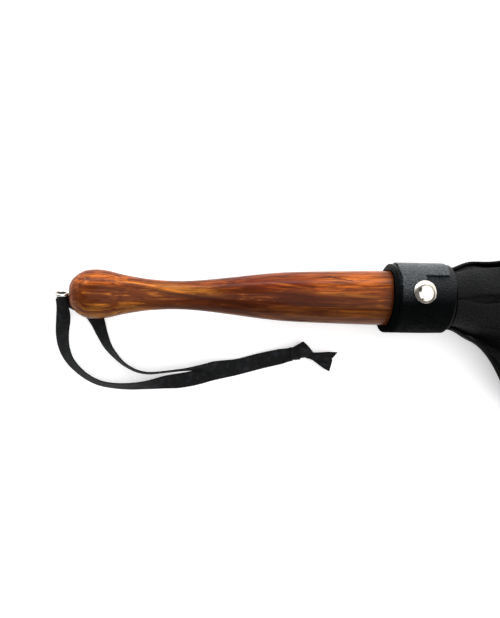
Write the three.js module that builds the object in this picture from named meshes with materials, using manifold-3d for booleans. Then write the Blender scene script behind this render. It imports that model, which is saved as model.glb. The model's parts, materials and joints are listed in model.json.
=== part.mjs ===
// A leather fly whisk: a turned wooden handle, a bundle of leather falls held on it by a keeper and a
// domed rivet, and a tape wrist loop through a screw eye. Millimetres, +Z up, lying on the plane z = 0.
// +X runs along the handle from the butt to the falls. Lengths along the handle start at the butt.
import * as THREE from 'three';
import { mergeVertices } from 'three/addons/utils/BufferGeometryUtils.js';
import Module from 'manifold-3d';

const wasm = await Module();
wasm.setup();

// ---- driving dimensions ----
const GAP = 0.3; // air kept between neighbouring pieces
const rad = THREE.MathUtils.degToRad;

const pommel = { at: 14.5, radius: 12.5 };
const waist = { at: 53.5, radius: 7.28 };
const shoulder = { at: 169.4, radius: 14.5 };
const neck = { radius: 13.3, end: 188, tip: 11.4 };
const hide = { thickness: 1.3, start: shoulder.at + GAP, end: 198.9, slit: 0.8 };
const keeper = { start: 165.4, end: 198.2, outer: 18.3, wall: 1.5, lip: 2.3, skew: 0.08 };
const flap = {
  start: 168.6, end: 195.2, from: -24, to: 100, thickness: 0.7, step: { at: 182, lean: 39.5 },
};
const eye = { ring: 3, wire: 0.7, turn: -20, shank: 1, depth: 15 };
const rivet = { at: 180.9, lean: 9.5, cap: 6.1, height: 2.4, nail: 1.2, depth: 9 };
const tack = { count: 3, at: 174, radius: 0.6, head: 1.5, depth: 6 };
const tape = { width: 8, thickness: 0.6, bight: { width: 2.6, thickness: 0.8 }, gathered: 0.45 };
const fall = { width: 16.4, layer: 1.75, gathered: 0.55 };

// The two wraps of hide round the neck: radius of the middle of each
const wrap = {
  inner: neck.radius + GAP + hide.thickness / 2,
  outer: neck.radius + 2 * GAP + hide.thickness * 1.5,
};

// The handle lies on the keeper's back edge and on the tape under the pommel, so it is tilted a little
const tapeUnderPommel = 1.3;
const axisAtPommel = pommel.radius + tapeUnderPommel;
const tilt = Math.atan((keeper.outer - axisAtPommel) / (keeper.start - pommel.at));
const axisHeight = (x) => axisAtPommel + (x - pommel.at) * Math.tan(tilt);

// Where the lash bends: all the falls together, and then each upper fall on its own
const flexLine = 246;
const flexHeight = 12;
const flexReach = 55; // degrees each way
const liftLine = 292;
const liftRoom = 1;

// Each fall: its wrap, its place round the handle (degrees from +Y towards +Z), the way it points after
// the keeper and at its tip, how many layers lie under it, the lengths over which it drops and turns
// flat, and its length beyond the keeper
const falls = [
  ['fall_01', 'outer', 270, -25, -7, 0, 40, 55, 266],
  ['fall_02', 'inner', 234, -36, -4, 1, 60, 55, 258],
  ['fall_03', 'inner', 306, -11, -10, 1, 66, 60, 270],
  ['fall_04', 'outer', 342, -4, -6, 2, 84, 48, 263],
  ['fall_05', 'outer', 198, -46, -2, 2, 95, 70, 272],
  ['fall_06', 'inner', 18, -9, -12, 3, 90, 45, 259],
  ['fall_07', 'inner', 162, -14, -9, 3, 76, 70, 268],
  ['fall_08', 'inner', 90, -4, -11, 4, 86, 55, 264],
  ['fall_09', 'outer', 121, 5, -17, 5, 100, 55, 261],
  ['fall_10', 'outer', 60, 0, -7, 6, 105, 55, 269],
].map(([name, from, angle, leave, settle, layer, drop, turn, length]) => (
  { name, from, angle, leave, settle, layer, drop, turn, length }));
const puff = { degrees: 24, length: 16, hold: 22 }; // how the falls at the sides swell out of the keeper

// ---- materials ----
const wood = new THREE.MeshStandardMaterial({ color: 0x7a3f1c, roughness: 0.25, metalness: 0 });
const blackLeather = new THREE.MeshStandardMaterial({ color: 0x1b1b1c, roughness: 0.55, metalness: 0 });
const chrome = new THREE.MeshStandardMaterial({ color: 0xd9dce0, roughness: 0.08, metalness: 1 });
const steel = new THREE.MeshStandardMaterial({ color: 0x9a9da2, roughness: 0.4, metalness: 1 });
const webbing = new THREE.MeshStandardMaterial({ color: 0x141518, roughness: 0.85, metalness: 0 });

// ---- helpers ----
function toSolid(geometry) {
  const bare = geometry.clone();
  bare.deleteAttribute('normal');
  bare.deleteAttribute('uv');
  const merged = mergeVertices(bare, 1e-4);
  const mesh = new wasm.Mesh({
    numProp: 3,
    vertProperties: new Float32Array(merged.attributes.position.array),
    triVerts: new Uint32Array(merged.index.array),
  });
  return new wasm.Manifold(mesh);
}

function toGeometry(solid) {
  const mesh = solid.getMesh();
  const geometry = new THREE.BufferGeometry();
  geometry.setAttribute('position', new THREE.BufferAttribute(new Float32Array(mesh.vertProperties), 3));
  geometry.setIndex(new THREE.BufferAttribute(new Uint32Array(mesh.triVerts), 1));
  geometry.computeVertexNormals();
  return geometry;
}

function cut(geometry, ...tools) {
  return toGeometry(tools.reduce((solid, tool) => solid.subtract(toSolid(tool)), toSolid(geometry)));
}

function join(geometry, other) {
  return toGeometry(toSolid(geometry).add(toSolid(other)));
}

// Turns an outline of [along, radius] points about the X axis
function turned(outline, sides = 40) {
  const profile = outline.map(([along, radius]) => new THREE.Vector2(radius, along));
  return new THREE.LatheGeometry(profile, sides).rotateZ(-Math.PI / 2);
}

// A closed ring about the X axis with a rectangular section
function sleeve(start, end, inner, outer, sides = 48) {
  return turned([[start, inner], [start, outer], [end, outer], [end, inner], [start, inner]], sides);
}

// A rod pointing away from the handle's axis, at x along it and lean degrees from +Z towards +Y
function radialRod(radius, low, high, x, lean, sides = 16) {
  const rod = new THREE.CylinderGeometry(radius, radius, high - low, sides);
  rod.translate(0, (high + low) / 2, 0);
  rod.rotateX(rad(90 - lean));
  return rod.translate(x, 0, 0);
}

function smooth(value) {
  const t = THREE.MathUtils.clamp(value, 0, 1);
  return t * t * (3 - 2 * t);
}

// A flat strip: frameAt(t) gives its middle, its width direction, its face's direction and its cupping
function strip(frameAt, width, thickness, steps, across = 1) {
  const geometry = new THREE.BoxGeometry(1, 1, 1, steps, across, 1);
  const position = geometry.attributes.position;
  for (let i = 0; i < position.count; i += 1) {
    const { centre, side, face, cup, share = 1 } = frameAt(position.getX(i) + 0.5);
    const u = position.getY(i) * width * share;
    const v = position.getZ(i) * thickness;
    const point = centre.clone();
    if (Math.abs(cup) > 1e-4) {
      const reach = 1 / cup + v;
      point.addScaledVector(side, reach * Math.sin(u * cup));
      point.addScaledVector(face, reach * Math.cos(u * cup) - 1 / cup);
    } else {
      point.addScaledVector(side, u).addScaledVector(face, v);
    }
    position.setXYZ(i, point.x, point.y, point.z);
  }
  return geometry;
}

function mesh(name, geometry, material) {
  const made = new THREE.Mesh(geometry, material);
  made.name = name;
  return made;
}

// ---- handle ----
function handleWood() {
  const swell = new THREE.SplineCurve([
    [0.5, 5.2], [1.5, 7.1], [3, 8.7], [5.5, 10.65], [9, 12.05], [pommel.at, pommel.radius],
    [20, 11.85], [25.5, 10.52], [32, 9.2], [41, 7.95], [waist.at, waist.radius], [66.4, 7.87],
    [82, 9.6], [98, 11.57], [114, 12.95], [141, 13.9], [shoulder.at - 0.6, shoulder.radius],
  ].map(([along, radius]) => new THREE.Vector2(along, radius)));
  const outline = [
    [0, 0], [0, 4], ...swell.getPoints(54).map((point) => [point.x, point.y]),
    [shoulder.at, shoulder.radius - 0.6], [shoulder.at, neck.radius],
    [neck.end - 2, neck.radius], [neck.end, neck.tip], [neck.end, 0],
  ];
  const shankHole = new THREE.CylinderGeometry(eye.shank + GAP, eye.shank + GAP, eye.depth + 2, 16);
  shankHole.rotateZ(Math.PI / 2).translate(eye.depth / 2, 0, 0);
  const nailHole = radialRod(rivet.nail + GAP, neck.radius - rivet.depth - 1, 20, rivet.at, rivet.lean);
  return cut(turned(outline), shankHole, nailHole, ...tackHoles(neck.radius - tack.depth - 1, 20));
}

// ---- screw eye in the butt ----
function screwEye() {
  const ring = new THREE.TorusGeometry(eye.ring, eye.wire, 12, 32);
  ring.rotateX(Math.PI / 2 + rad(eye.turn)).translate(-eye.ring - eye.wire, 0, 0);
  const pitch = 1.2;
  const outline = [[-0.6, 0], [-0.6, 0.8], [1.5, 0.8]];
  for (let x = 2; x + pitch < eye.depth - 2; x += pitch) {
    outline.push([x, 0.75], [x + pitch / 2, eye.shank]);
  }
  outline.push([eye.depth - 2, 0.7], [eye.depth - 0.5, 0]);
  return join(ring, turned(outline, 12));
}

// ---- hide wraps, tacks, keeper and rivet ----
function tackLean(index) {
  return 60 + rivet.lean + (360 / tack.count) * index;
}

function tackHoles(low, high) {
  return Array.from({ length: tack.count }, (_, index) =>
    radialRod(tack.radius + GAP, low, high, tack.at, tackLean(index), 12));
}

function hideWrap(radius, headRoom) {
  const half = hide.thickness / 2;
  const band = sleeve(hide.start, hide.end, radius - half, radius + half);
  const slit = new THREE.BoxGeometry(hide.end, hide.slit, 8);
  slit.translate(hide.end / 2 + hide.start - 5, 0, -radius);
  const nailHole = radialRod(rivet.nail + GAP, 5, 22, rivet.at, rivet.lean);
  const tacks = headRoom
    ? Array.from({ length: tack.count }, (_, index) =>
      radialRod(tack.head + GAP, 5, 22, tack.at, tackLean(index), 16))
    : tackHoles(5, 22);
  return cut(band, slit, nailHole, ...tacks);
}

// A tack through the inner wrap, its head sunk in a hole of the outer one
function tackSolid(index) {
  const top = wrap.inner + hide.thickness / 2 + GAP;
  const stem = radialRod(tack.radius, neck.radius - tack.depth, top + 0.4, tack.at, tackLean(index), 12);
  const head = radialRod(tack.head, top, top + 0.9, tack.at, tackLean(index), 16);
  return join(stem, head);
}

function keeperSleeve() {
  const inner = keeper.outer - keeper.wall;
  const lipInner = shoulder.radius + GAP;
  const lipEnd = keeper.start + keeper.lip;
  const soften = 0.5;
  const outline = [
    [keeper.start, lipInner], [keeper.start, keeper.outer - soften],
    [keeper.start + soften, keeper.outer], [keeper.end - soften, keeper.outer],
    [keeper.end, keeper.outer - soften], [keeper.end, inner], [lipEnd, inner],
    [lipEnd, lipInner], [keeper.start, lipInner],
  ];
  const sleeve = cut(turned(outline, 60), radialRod(rivet.nail + GAP, 10, 25, rivet.at, rivet.lean));
  return sleeve.applyMatrix4(skewed());
}

// The keeper is cut a little out of square: each ring of it slides along the handle with its height in Y
function skewed() {
  return new THREE.Matrix4().set(1, keeper.skew, 0, 0, 0, 1, 0, 0, 0, 0, 1, 0, 0, 0, 0, 1);
}

// A curved sheet lying round the handle, between two leans from +Z towards +Y
function wrappedSheet(start, end, from, to, radius, thickness) {
  const middle = rad((from + to) / 2);
  const frameAt = (t) => ({
    centre: new THREE.Vector3(
      THREE.MathUtils.lerp(start, end, t), radius * Math.sin(middle), radius * Math.cos(middle)),
    side: new THREE.Vector3(0, Math.cos(middle), -Math.sin(middle)),
    face: new THREE.Vector3(0, Math.sin(middle), Math.cos(middle)),
    cup: 1 / radius,
  });
  return strip(frameAt, rad(to - from) * radius, thickness, 6, 20);
}

// The keeper's overlapping end: a second thickness with a tongue under the rivet
function keeperFlap() {
  const radius = keeper.outer + GAP + flap.thickness / 2;
  const sheet = wrappedSheet(flap.start, flap.end, flap.from, flap.to, radius, flap.thickness);
  const beside = wrappedSheet(flap.step.at, flap.end + 5, flap.from - 10, flap.step.lean, radius, 4);
  const cleared = cut(sheet, beside, radialRod(rivet.nail + GAP, 10, 25, rivet.at, rivet.lean));
  return cleared.applyMatrix4(skewed());
}

function rivetCap() {
  const seat = keeper.outer + 2 * GAP + flap.thickness;
  const dome = [[0, 0]];
  const steps = 8;
  for (let i = 0; i <= steps; i += 1) {
    const swing = (Math.PI / 2) * (i / steps);
    dome.push([rivet.height * Math.sin(swing), rivet.cap * Math.cos(swing)]);
  }
  dome[dome.length - 1][1] = 0;
  const cap = turned(dome, 32).rotateZ(Math.PI / 2);
  const bore = new THREE.CylinderGeometry(rivet.nail + GAP, rivet.nail + GAP, 2.4, 16);
  const placed = cut(cap, bore);
  return placed.translate(0, seat + 0.2, 0).rotateX(rad(90 - rivet.lean)).translate(rivet.at, 0, 0);
}

function rivetNail() {
  const top = keeper.outer + 3 * GAP + flap.thickness + 0.5;
  return radialRod(rivet.nail, neck.radius - rivet.depth, top, rivet.at, rivet.lean);
}

// ---- falls ----
const insideKeeper = hide.end + GAP;

// Walks a fall from the keeper to its tip, and returns a function of the length run so far
function fallRoute(spec) {
  const radius = wrap[spec.from];
  const around = rad(spec.angle);
  const startHeight = axisHeight(insideKeeper) + radius * Math.sin(around);
  const restHeight = hide.thickness / 2 + spec.layer * fall.layer;
  const turnedUp = (spec.angle % 180) - 90; // the two sides are alike, so the lower ones face inwards
  const inwards = spec.angle < 180 ? 1 : -1;
  const headingAt = (s) => {
    const swell = puff.degrees * Math.cos(around) * Math.sin(Math.PI * Math.min(s / puff.length, 1));
    const change = spec.settle - spec.leave;
    return rad(swell + spec.leave * smooth(s / 34) + change * smooth((s - 48) / 120));
  };
  const heightAt = (s) => startHeight + (restHeight - startHeight) * smooth(s / spec.drop);
  const stride = 1;
  const walked = [new THREE.Vector2(insideKeeper, radius * Math.cos(around))];
  for (let s = 0; s < spec.length + 2; s += stride) {
    const slope = (heightAt(s + stride) - heightAt(s)) / stride;
    const flat = Math.sqrt(Math.max(0, 1 - slope * slope)) * stride;
    const heading = headingAt(s + stride / 2);
    const last = walked[walked.length - 1];
    walked.push(new THREE.Vector2(last.x + flat * Math.cos(heading), last.y + flat * Math.sin(heading)));
  }
  return (s) => {
    const index = Math.min(Math.floor(s / stride), walked.length - 2);
    const plan = walked[index].clone().lerp(walked[index + 1], s / stride - index);
    const heading = headingAt(s);
    const slope = heightAt(s + 0.5) - heightAt(s - 0.5);
    const along = new THREE.Vector3(Math.cos(heading), Math.sin(heading), slope).normalize();
    const level = new THREE.Vector3(-Math.sin(heading), Math.cos(heading), 0);
    const held = puff.hold * Math.abs(Math.cos(around));
    const roll = rad(turnedUp) * (1 - smooth((s - held) / spec.turn));
    const side = level.clone().applyAxisAngle(along, roll);
    return {
      centre: new THREE.Vector3(plan.x, plan.y, heightAt(s)),
      side,
      face: new THREE.Vector3().crossVectors(along, side),
      cup: (inwards / radius) * (1 - smooth(s / 50)),
      share: fall.gathered + (1 - fall.gathered) * smooth((s - 10) / 70),
      heading,
    };
  };
}

// How far along a fall a line across the lash is crossed
function lengthAt(route, line) {
  let s = 0;
  while (route(s).centre.x < line) {
    s += 0.5;
  }
  return s;
}

function fallPiece(name, route, from, to, steps) {
  const geometry = strip((t) => route(THREE.MathUtils.lerp(from, to, t)), fall.width, hide.thickness, steps, 4);
  return mesh(name, geometry, blackLeather);
}

// Cuts one fall where the lash bends, leaving room for each part to swing
function fallPieces(spec) {
  const route = fallRoute(spec);
  const skew = (s) => (fall.width / 2) * Math.abs(Math.sin(route(s).heading));
  const flexAt = lengthAt(route, flexLine);
  const rise = Math.abs(route(flexAt).centre.z - flexHeight);
  const flexRoom = 1 + rise * Math.tan(rad(flexReach / 2)) + skew(flexAt);
  const pieces = { root: fallPiece(`${spec.name}_root`, route, 0.3, flexAt - flexRoom, 10) };
  if (spec.layer < 2) {
    pieces.tail = fallPiece(spec.name, route, flexAt + flexRoom, spec.length, 26);
    return pieces;
  }
  const liftAt = lengthAt(route, liftLine);
  pieces.middle = fallPiece(`${spec.name}_middle`, route, flexAt + flexRoom, liftAt - liftRoom, 6);
  pieces.tail = fallPiece(spec.name, route, liftAt + liftRoom, spec.length, 22);
  return pieces;
}

// ---- wrist loop ----
// Each leg's route from the screw eye to the knot: [x, y, z, lean], where lean is how far the tape
// stands on its edge, in degrees (0 lies flat)
const legA = [
  [-4, -3.4, 9.3, 4], [-3.4, -5.9, 7.1, 12], [-2.8, -9.4, 4.8, 16], [-2.8, -13.5, 3.3, 24],
  [-3.1, -20.2, 3, 34], [-2.1, -27.4, 3.4, 46], [1, -34.3, 3.9, 58], [7.1, -40.7, 4.1, 66],
  [14.3, -45.1, 4.2, 68], [21.5, -47, 4.2, 68], [31.3, -47.6, 4.1, 62], [40.7, -46.9, 3.6, 52],
  [50.2, -45.6, 2.3, 29], [58.3, -44.9, 0.9, 6], [66.8, -43.4, 0.5, 2], [75.6, -41, 0.4, 0],
  [88, -38.3, 0.35, 0], [101.4, -34.8, 0.7, 0], [110.5, -32.6, 1.8, 0], [115.8, -31.4, 2.8, 0],
];
const legB = [
  [-3.8, -1, 7.4, 2], [-2.8, -2, 4.6, 8], [1.2, -3.7, 2, 10], [6.3, -5.8, 1.1, 6],
  [11, -8.6, 1.2, 4], [14.5, -13.4, 2, 22], [17.1, -20, 3.3, 46], [19.9, -26.3, 4, 60],
  [23.4, -31, 4.3, 70], [27.6, -35.3, 4.4, 78], [32.2, -38.3, 4.4, 80], [37, -40.2, 4.4, 80],
  [43, -40.8, 4.5, 80], [52.5, -39.8, 5, 80], [60, -38.9, 5.2, 78], [67.5, -38, 5, 66],
  [75.6, -37.8, 4, 32], [88, -37.4, 1.7, 2], [101.4, -34.1, 1.9, 0], [115.8, -30.9, 4.1, 0],
];

// A tape along a list of points, gathered at its start to a share of its width
function tapeStrip(points, steps, gathered = 1) {
  const places = new THREE.CatmullRomCurve3(points.map(([x, y, z]) => new THREE.Vector3(x, y, z)));
  const leans = new THREE.CatmullRomCurve3(points.map(([, , , lean]) => new THREE.Vector3(lean, 0, 0)));
  const up = new THREE.Vector3(0, 0, 1);
  return strip((t) => {
    const centre = places.getPoint(t);
    const along = places.getTangent(t);
    const level = new THREE.Vector3().crossVectors(up, along).normalize();
    const side = level.applyAxisAngle(along, rad(leans.getPoint(t).x));
    const face = new THREE.Vector3().crossVectors(along, side);
    return { centre, side, face, cup: 0, share: gathered + (1 - gathered) * smooth(t) };
  }, tape.width, tape.thickness, steps);
}

// The gathered bend of the tape round the lowest part of the eye's wire
function loopBight() {
  const turn = rad(eye.turn);
  const wireY = eye.ring * Math.sin(turn);
  const wireZ = axisHeight(-4) - eye.ring * Math.cos(turn);
  const radius = eye.wire + 0.45 + tape.bight.thickness / 2;
  return strip((t) => {
    const swing = rad(THREE.MathUtils.lerp(212, -62, t));
    const face = new THREE.Vector3(0, Math.cos(swing), Math.sin(swing));
    const centre = new THREE.Vector3(-eye.ring - eye.wire, wireY, wireZ).addScaledVector(face, radius);
    return { centre, side: new THREE.Vector3(-1, 0, 0), face, cup: 0 };
  }, tape.bight.width, tape.bight.thickness, 18);
}

function knotBody() {
  const knot = new THREE.SphereGeometry(1, 18, 12);
  return knot.scale(6, 4.7, 3.1).rotateZ(rad(-12)).translate(123.2, -29.4, 3.5);
}

const tailUpper = [[129.8, -30.9, 4.4, 0], [135, -31.1, 4.1, 8], [141.2, -31.4, 3.2, 18]];
const tailLower = [[129.8, -31.9, 2.6, 0], [135, -34.2, 1.7, -8], [140.8, -36.6, 1.6, -14]];

// ---- assembly ----
const handle = new THREE.Group();
handle.position.set(0, 0, axisHeight(0));
handle.rotation.y = -tilt;
handle.add(
  mesh('handle_wood', handleWood(), wood),
  mesh('screw_eye', screwEye(), chrome),
  mesh('hide_wrap_inner', hideWrap(wrap.inner, false), blackLeather),
  mesh('hide_wrap_outer', hideWrap(wrap.outer, true), blackLeather),
  mesh('keeper', keeperSleeve(), blackLeather),
  mesh('keeper_flap', keeperFlap(), blackLeather),
  mesh('rivet_cap', rivetCap(), chrome),
  mesh('rivet_nail', rivetNail(), steel),
);
for (let index = 0; index < tack.count; index += 1) {
  handle.add(mesh(`hide_tack_${index + 1}`, tackSolid(index), steel));
}

const lash = new THREE.Group();
for (const spec of falls) {
  lash.add(...Object.values(fallPieces(spec)));
}

const loop = new THREE.Group();
loop.add(
  mesh('loop_bight', loopBight(), webbing),
  mesh('loop_leg_a', tapeStrip(legA, 60), webbing),
  mesh('loop_leg_b', tapeStrip(legB, 60), webbing),
  mesh('loop_knot', knotBody(), webbing),
  mesh('loop_tail_upper', tapeStrip(tailUpper, 8, tape.gathered), webbing),
  mesh('loop_tail_lower', tapeStrip(tailLower, 8, tape.gathered), webbing),
);

const whisk = new THREE.Group();
whisk.add(handle, lash, loop);

// The origin is the middle of the rigid part's footprint; the loop is left out of it
const footprint = new THREE.Box3();
whisk.updateMatrixWorld(true);
handle.children.concat(lash.children).forEach((piece) => {
  footprint.union(new THREE.Box3().setFromObject(piece, true));
});
const middle = footprint.getCenter(new THREE.Vector3());
whisk.position.set(-middle.x, -middle.y, -footprint.min.z);

export default whisk;
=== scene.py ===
import json
from math import atan2, cos, hypot, pi, radians, sin, tan

import bmesh
import bpy
from mathutils import Matrix, Vector


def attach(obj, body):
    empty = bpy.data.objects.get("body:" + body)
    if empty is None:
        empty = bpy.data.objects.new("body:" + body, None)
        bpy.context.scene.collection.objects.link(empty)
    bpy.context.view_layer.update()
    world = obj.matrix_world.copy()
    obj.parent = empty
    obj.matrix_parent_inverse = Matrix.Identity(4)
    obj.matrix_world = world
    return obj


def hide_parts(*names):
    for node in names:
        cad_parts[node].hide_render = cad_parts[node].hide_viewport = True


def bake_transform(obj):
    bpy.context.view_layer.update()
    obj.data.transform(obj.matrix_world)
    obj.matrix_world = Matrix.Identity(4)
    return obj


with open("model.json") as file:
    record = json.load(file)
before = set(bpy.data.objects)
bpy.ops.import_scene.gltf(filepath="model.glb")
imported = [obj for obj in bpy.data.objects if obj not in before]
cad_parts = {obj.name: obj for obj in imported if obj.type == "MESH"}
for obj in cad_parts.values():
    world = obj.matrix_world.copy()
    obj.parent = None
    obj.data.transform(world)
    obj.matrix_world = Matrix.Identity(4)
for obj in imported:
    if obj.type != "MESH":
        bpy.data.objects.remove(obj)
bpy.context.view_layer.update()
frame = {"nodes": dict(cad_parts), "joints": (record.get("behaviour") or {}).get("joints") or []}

MM = 0.001

# ---- places taken from the frame ----
swivel = next(joint for joint in frame["joints"] if joint["name"] == "wrist_loop_swivel")
butt = Vector(swivel["pos_m"])
tilt = atan2(swivel["axis"][2], swivel["axis"][0])
handle_place = Matrix.Translation(butt) @ Matrix.Rotation(-tilt, 4, "Y")
plan_place = Matrix.Translation((butt.x, butt.y, 0))

# ---- driving dimensions, as in the CAD ----
GAP = 0.3
POMMEL = {"at": 14.5, "radius": 12.5}
SHOULDER = {"at": 169.4, "radius": 14.5}
NECK = {"radius": 13.3, "end": 188, "tip": 11.4}
HIDE = {"thickness": 1.3, "end": 198.9}
KEEPER = {"start": 165.4, "end": 198.2, "outer": 18.3, "wall": 1.5, "lip": 2.3, "skew": 0.08}
FLAP = {
    "start": 168.6, "end": 195.2, "from": -24, "to": 100, "thickness": 0.7,
    "step_at": 182, "step_lean": 39.5,
}
EYE = {"ring": 3, "wire": 0.7, "turn": -20, "shank": 1}
RIVET = {"at": 180.9, "lean": 9.5, "cap": 6.1, "height": 2.4}
TAPE = {"width": 8, "thickness": 0.6}
FALL = {"width": 16.4, "layer": 1.75}
WRAP = {
    "inner": NECK["radius"] + GAP + HIDE["thickness"] / 2,
    "outer": NECK["radius"] + 2 * GAP + HIDE["thickness"] * 1.5,
}
INSIDE_KEEPER = HIDE["end"] + GAP
# Falls from LIFTING_LAYER up are two pieces each, meeting where they cross SEAM_LINE; lower falls are one
# piece.
SEAM_LINE = 272
LIFTING_LAYER = 2

# Each fall's wrap, place round the handle, headings, layer, lengths of its drop and turn, and own length
FALL_WORDS = ("name", "from", "angle", "leave", "settle", "layer", "drop", "turn", "length")
FALLS = [dict(zip(FALL_WORDS, spec)) for spec in (
    ("fall_01", "outer", 270, -25, -7, 0, 40, 55, 266),
    ("fall_02", "inner", 234, -36, -4, 1, 60, 55, 258),
    ("fall_03", "inner", 306, -11, -10, 1, 66, 60, 270),
    ("fall_04", "outer", 342, -4, -6, 2, 84, 48, 263),
    ("fall_05", "outer", 198, -46, -2, 2, 95, 70, 272),
    ("fall_06", "inner", 18, -9, -12, 3, 90, 45, 259),
    ("fall_07", "inner", 162, -14, -9, 3, 76, 70, 268),
    ("fall_08", "inner", 90, -4, -11, 4, 86, 55, 264),
    ("fall_09", "outer", 121, 5, -17, 5, 100, 55, 261),
    ("fall_10", "outer", 60, 0, -7, 6, 105, 55, 269),
)]
# How the side falls swell out as they leave the keeper, and how long they stay on edge
PUFF = {"degrees": 24, "length": 16, "hold": 22}
# Lengths along a fall: it turns to its first heading, then to its last, and loses the handle's roundness
LEAVE_OVER = 34
SETTLE_FROM = 48
SETTLE_OVER = 120
ROUND_OVER = 50

KNOT = Vector((123.3, -29.2, 3.5))

# The tape's two legs from the eye to the knot, in metres in plan, with how far each stands on its edge
LEG_A = [
    (-0.004, -0.0034, 0.0093, 4), (-0.0034, -0.0059, 0.0071, 12), (-0.0028, -0.0094, 0.0048, 16),
    (-0.0028, -0.0135, 0.0033, 24), (-0.0031, -0.0202, 0.003, 34), (-0.0021, -0.0274, 0.0034, 46),
    (0.001, -0.0343, 0.0039, 58), (0.0071, -0.0407, 0.0041, 66), (0.0143, -0.0451, 0.0042, 68),
    (0.0215, -0.047, 0.0042, 68), (0.0313, -0.0476, 0.0041, 62), (0.0407, -0.0469, 0.0036, 52),
    (0.0502, -0.0456, 0.0023, 29), (0.0583, -0.0449, 0.0009, 6), (0.0668, -0.0434, 0.0005, 2),
    (0.0756, -0.041, 0.0004, 0), (0.088, -0.0383, 0.00035, 0), (0.1014, -0.0348, 0.0007, 0),
    (0.1105, -0.0326, 0.0018, 0), (0.1158, -0.0314, 0.0028, 0),
]
LEG_B = [
    (-0.0038, -0.001, 0.0074, 2), (-0.0028, -0.002, 0.0046, 8), (0.0012, -0.0037, 0.002, 10),
    (0.0063, -0.0058, 0.0011, 6), (0.011, -0.0086, 0.0012, 4), (0.0145, -0.0134, 0.002, 22),
    (0.0171, -0.02, 0.0033, 46), (0.0199, -0.0263, 0.004, 60), (0.0234, -0.031, 0.0043, 70),
    (0.0276, -0.0353, 0.0044, 78), (0.0322, -0.0383, 0.0044, 80), (0.037, -0.0402, 0.0044, 80),
    (0.043, -0.0408, 0.0045, 80), (0.0525, -0.0398, 0.005, 80), (0.06, -0.0389, 0.0052, 78),
    (0.0675, -0.038, 0.005, 66), (0.0756, -0.0378, 0.004, 32), (0.088, -0.0374, 0.0017, 2),
    (0.1014, -0.0341, 0.0019, 0), (0.1158, -0.0309, 0.0041, 0),
]


# ---- camera ----
CAMERA = {"target": (92.57, -6.65, 16), "distance": 500, "lean": 11, "roll": 0.7, "lens": 56}


def make_camera():
    """Looks down on the handle, leaning towards the butt, with the handle falling slightly to the right."""
    target = plan_place @ (Vector(CAMERA["target"]) * MM)
    lean = radians(CAMERA["lean"])
    roll = radians(CAMERA["roll"])
    forward = Vector((sin(lean), 0, -cos(lean)))
    level = Vector((cos(lean), 0, sin(lean)))
    upright = Vector((0, 1, 0))
    right = cos(roll) * level + sin(roll) * upright
    up = cos(roll) * upright - sin(roll) * level
    data = bpy.data.cameras.new("camera")
    data.lens = CAMERA["lens"]
    data.clip_start = 0.01
    camera = bpy.data.objects.new("camera", data)
    bpy.context.collection.objects.link(camera)
    place = Matrix((right, up, -forward)).transposed().to_4x4()
    place.translation = target - CAMERA["distance"] * MM * forward
    camera.matrix_world = place
    bpy.context.scene.camera = camera


make_camera()


# ---- small helpers ----
WELD = 0.0005
SHARP = 75
TINY_RADIUS = 0.01
EDGE_UV = 0.3


def smooth(value):
    t = min(max(value, 0), 1)
    return t * t * (3 - 2 * t)


def lerp(a, b, t):
    return a + (b - a) * t


def axis_height(x):
    """Height of the handle's axis above the floor, at x along it."""
    return butt.z / MM + x * tan(tilt)


def new_object(name, points, faces, uvs, material, place, flesh=None):
    """A smooth, welded mesh from points and face corner UVs in millimetres. flesh says how far each point is
    towards the flesh side of a strip of leather."""
    mesh = bpy.data.meshes.new(name)
    mesh.from_pydata([Vector(p) * MM for p in points], [], faces)
    layer = mesh.uv_layers.new(name="UVMap")
    for loop, uv in zip(layer.data, uvs):
        loop.uv = (uv[0] * MM, uv[1] * MM)
    if flesh is not None:
        attribute = mesh.attributes.new("flesh", "FLOAT", "POINT")
        attribute.data.foreach_set("value", flesh)
    mesh.polygons.foreach_set("use_smooth", [True] * len(mesh.polygons))
    mesh.materials.append(material)
    cleaned = bmesh.new()
    cleaned.from_mesh(mesh)
    bmesh.ops.remove_doubles(cleaned, verts=cleaned.verts, dist=WELD * MM)
    bmesh.ops.recalc_face_normals(cleaned, faces=cleaned.faces)
    cleaned.to_mesh(mesh)
    cleaned.free()
    mesh.set_sharp_from_angle(angle=radians(SHARP))
    mesh.update()
    piece = bpy.data.objects.new(name, mesh)
    bpy.context.collection.objects.link(piece)
    piece.matrix_world = place
    return piece


def loft(name, rings, ring_uvs, material, place, flesh=None, caps=True):
    """Joins closed rings of points; the UV across a ring runs round it and closes on its own length."""
    count = len(rings[0])
    points = [point for ring in rings for point in ring]
    faces = []
    uvs = []
    for i in range(len(rings) - 1):
        for j in range(count):
            k = (j + 1) % count
            faces.append((i * count + j, (i + 1) * count + j, (i + 1) * count + k, i * count + k))
            uvs += [ring_uvs[i][j], ring_uvs[i + 1][j], ring_uvs[i + 1][j + 1], ring_uvs[i][j + 1]]
    if caps:
        last = (len(rings) - 1) * count
        faces.append(tuple(range(count)))
        uvs += ring_uvs[0][:count]
        faces.append(tuple(last + j for j in reversed(range(count))))
        uvs += list(reversed(ring_uvs[-1][:count]))
    whole_flesh = flesh and flesh * len(rings)
    return new_object(name, points, faces, uvs, material, place, whole_flesh)


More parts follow.
